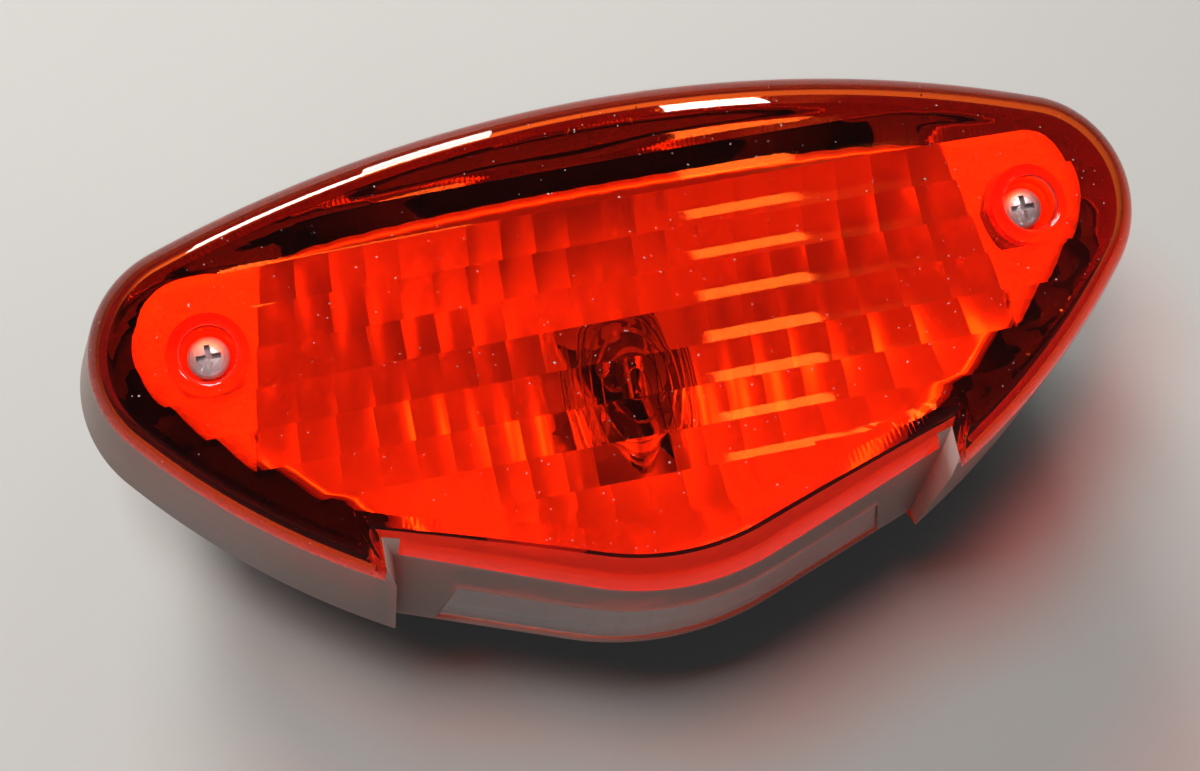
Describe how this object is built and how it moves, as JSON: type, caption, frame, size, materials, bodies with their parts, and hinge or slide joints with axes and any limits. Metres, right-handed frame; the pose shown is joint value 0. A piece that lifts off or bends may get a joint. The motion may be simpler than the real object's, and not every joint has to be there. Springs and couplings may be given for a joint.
{
  "type": "scooter brake light",
  "caption": "Scooter rear lamp: lobed red cover with number-plate window and screw wells, fluted reflector, bayonet holder and twin-filament bulb on a tray.",
  "frame": {"origin": "midway between the two upper fixing spacers, on the plane of the faces that the lamp stands on", "axes": "+X along the lamp's width, +Y the lamp's own up direction when fitted, +Z out through the cover"},
  "size_m": [0.203, 0.1006, 0.088],
  "materials": {
    "lens_red": "clear-bodied red acrylic, glossy inside, worn satin on the skirt",
    "window_clear": "clear acrylic, slightly dulled",
    "screw_steel": "zinc plated, slightly dulled",
    "seal_rubber": "matt",
    "tray_black": "fine moulded grain",
    "brass": "bright with light tarnish",
    "reflector_silver": "vacuum metallised",
    "plated_steel": "zinc plated pressing",
    "laminate": "resin bonded paper board",
    "glass_clear": "clear",
    "glass_black": "black vitrite",
    "solder": "dull solder",
    "lamp_wire": "grey drawn wire"
  },
  "bodies": {
    "tray_body": {"tray": "tray_black", "fixing_spacers": "tray_black", "threaded_inserts": "brass", "reflector": "reflector_silver", "lens_seal": "seal_rubber", "holder_shell": "plated_steel", "holder_rivets": "plated_steel", "holder_back": "laminate", "terminals": "brass", "earth_plate": "plated_steel", "contact_spring": "plated_steel"},
    "cover": {"lens": "lens_red", "plate_window": "window_clear", "lens_screws": "screw_steel"},
    "contact": {"contact_plate": "laminate", "contact_tips": "brass"},
    "bulb": {"bulb_cap": "brass", "bulb_pins": "brass", "bulb_insulator": "glass_black", "bulb_contacts": "solder", "bulb_glass": "glass_clear", "bulb_stem": "glass_clear", "bulb_leads": "lamp_wire", "stop_filament": "lamp_wire", "tail_filament": "lamp_wire"}
  },
  "joints": [
    {"name": "cover_lift", "type": "slide", "parent": "tray_body", "child": "cover", "axis": [0, 0, 1], "range_m": [0, 0.06]},
    {"name": "bulb_press", "type": "slide", "parent": "tray_body", "child": "contact", "axis": [0, 0, -1], "range_m": [0, 0.002], "stiffness_N_per_m": 600, "springref_m": -0.004, "deforming": ["contact_spring"]},
    {"name": "bulb_turn", "type": "hinge", "parent": "contact", "child": "bulb", "pos_m": [0, -0.013, 0.0255], "axis": [0, 0, 1], "range_deg": [0, 25]}
  ],
  "couplings": [
    {"joint": "bulb_turn", "follows": "bulb_press", "rad_per_m": 218.1}
  ]
}
